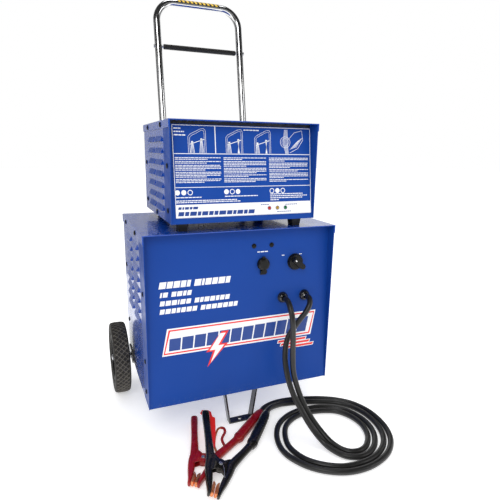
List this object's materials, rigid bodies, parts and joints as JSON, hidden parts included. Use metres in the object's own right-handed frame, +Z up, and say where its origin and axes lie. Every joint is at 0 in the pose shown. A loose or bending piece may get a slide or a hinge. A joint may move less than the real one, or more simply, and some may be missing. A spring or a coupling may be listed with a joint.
{
  "type": "car battery charger",
  "caption": "Wheeled engine starter and charger: louvred battery cabinet and charger box on a cart with tube handle, rotary switch, power socket and clamp leads.",
  "frame": {"origin": "middle of the footprint of cart and handle, on the floor", "axes": "+X to the right seen from the front panel, +Y to the back where the handle is, +Z up"},
  "size_m": [0.6458, 0.6613, 1.1032],
  "materials": {
    "blue_sheet": "gloss blue coat",
    "black_steel": "satin black coat",
    "battery_case": "matt",
    "zinc_steel": "zinc plated",
    "black_plastic": "moulded",
    "tyre_rubber": "matt",
    "black_rubber": "matt",
    "chrome_tube": "polished",
    "warning_tape": "yellow and black film",
    "label_film": "printed film",
    "lamp_lens": "tinted",
    "transformer_core": "varnished",
    "heat_sink_metal": "extruded",
    "red_vinyl": "gloss dipped coat",
    "black_vinyl": "gloss dipped coat",
    "copper_plate": "copper plated",
    "marker_strip": "satin"
  },
  "bodies": {
    "cart": {"cabinet_base": "blue_sheet", "cabinet_front": "blue_sheet", "cabinet_rear": "blue_sheet", "cabinet_left_side": "blue_sheet", "cabinet_right_side": "blue_sheet", "cabinet_cover": "blue_sheet", "cabinet_fasteners": "black_steel", "battery_left": "battery_case", "battery_right": "battery_case", "battery_clamp_bar": "zinc_steel", "foot_strap": "black_steel", "axle": "zinc_steel", "axle_plate_left": "black_steel", "axle_plate_right": "black_steel", "left_hub_nut": "zinc_steel", "right_hub_nut": "zinc_steel", "lead_grommet_left": "black_rubber", "lead_grommet_right": "black_rubber", "socket_body": "black_plastic", "switch_body": "black_plastic", "switch_plate": "black_plastic", "handle_upright_left": "chrome_tube", "handle_upright_right": "chrome_tube", "handle_hoop": "chrome_tube", "handle_tape": "warning_tape", "crossbar_rod": "zinc_steel", "crossbar_sleeve": "black_rubber", "charger_base": "blue_sheet", "charger_front": "blue_sheet", "charger_rear": "blue_sheet", "charger_left_side": "blue_sheet", "charger_right_side": "blue_sheet", "charger_cover": "blue_sheet", "charger_fasteners": "black_steel", "charger_feet": "black_rubber", "label_plate": "label_film", "status_lights": "lamp_lens", "transformer": "transformer_core", "heat_sink": "heat_sink_metal", "mains_inlet": "black_plastic", "black_lead": "black_rubber", "red_lead": "black_rubber", "red_clamp_fixed_arm": "red_vinyl", "red_clamp_fixed_jaw": "copper_plate", "red_clamp_rivet": "zinc_steel", "red_clamp_braid": "copper_plate", "black_clamp_fixed_arm": "black_vinyl", "black_clamp_fixed_jaw": "copper_plate", "black_clamp_rivet": "zinc_steel"},
    "left_wheel": {"left_rim": "black_plastic", "left_tyre": "tyre_rubber"},
    "right_wheel": {"right_rim": "black_plastic", "right_tyre": "tyre_rubber"},
    "knob": {"switch_knob": "black_plastic"},
    "cap": {"socket_cap": "black_plastic"},
    "red_clamp_lever": {"red_clamp_moving_arm": "red_vinyl", "red_clamp_moving_jaw": "copper_plate"},
    "black_clamp_lever": {"black_clamp_moving_arm": "black_vinyl", "black_clamp_moving_jaw": "copper_plate", "black_clamp_strip": "marker_strip"}
  },
  "joints": [
    {"name": "left_wheel_spin", "type": "hinge", "parent": "cart", "child": "left_wheel", "pos_m": [-0.276, 0.09387, 0.1015], "axis": [1, 0, 0], "continuous": true},
    {"name": "right_wheel_spin", "type": "hinge", "parent": "cart", "child": "right_wheel", "pos_m": [0.276, 0.09387, 0.1015], "axis": [1, 0, 0], "continuous": true},
    {"name": "switch_turn", "type": "hinge", "parent": "cart", "child": "knob", "pos_m": [0.142, -0.1896, 0.4246], "axis": [0, -0.9982, 0.0596], "range_deg": [-30, 90]},
    {"name": "socket_cap_flip", "type": "hinge", "parent": "cart", "child": "cap", "pos_m": [0.054, -0.18474, 0.40527], "axis": [1, 0, 0], "range_deg": [0, 110]},
    {"name": "red_clamp_open", "type": "hinge", "parent": "cart", "child": "red_clamp_lever", "pos_m": [-0.1384, -0.30273, 0.0112], "axis": [-0.0028, 0.012, -0.9999], "range_deg": [0, 18], "stiffness_Nm_per_rad": 6, "springref_deg": -14.32},
    {"name": "black_clamp_open", "type": "hinge", "parent": "cart", "child": "black_clamp_lever", "pos_m": [-0.1134, -0.34693, 0.022], "axis": [-0.1878, 0.2216, -0.9569], "range_deg": [0, 18], "stiffness_Nm_per_rad": 6, "springref_deg": -14.32}
  ]
}
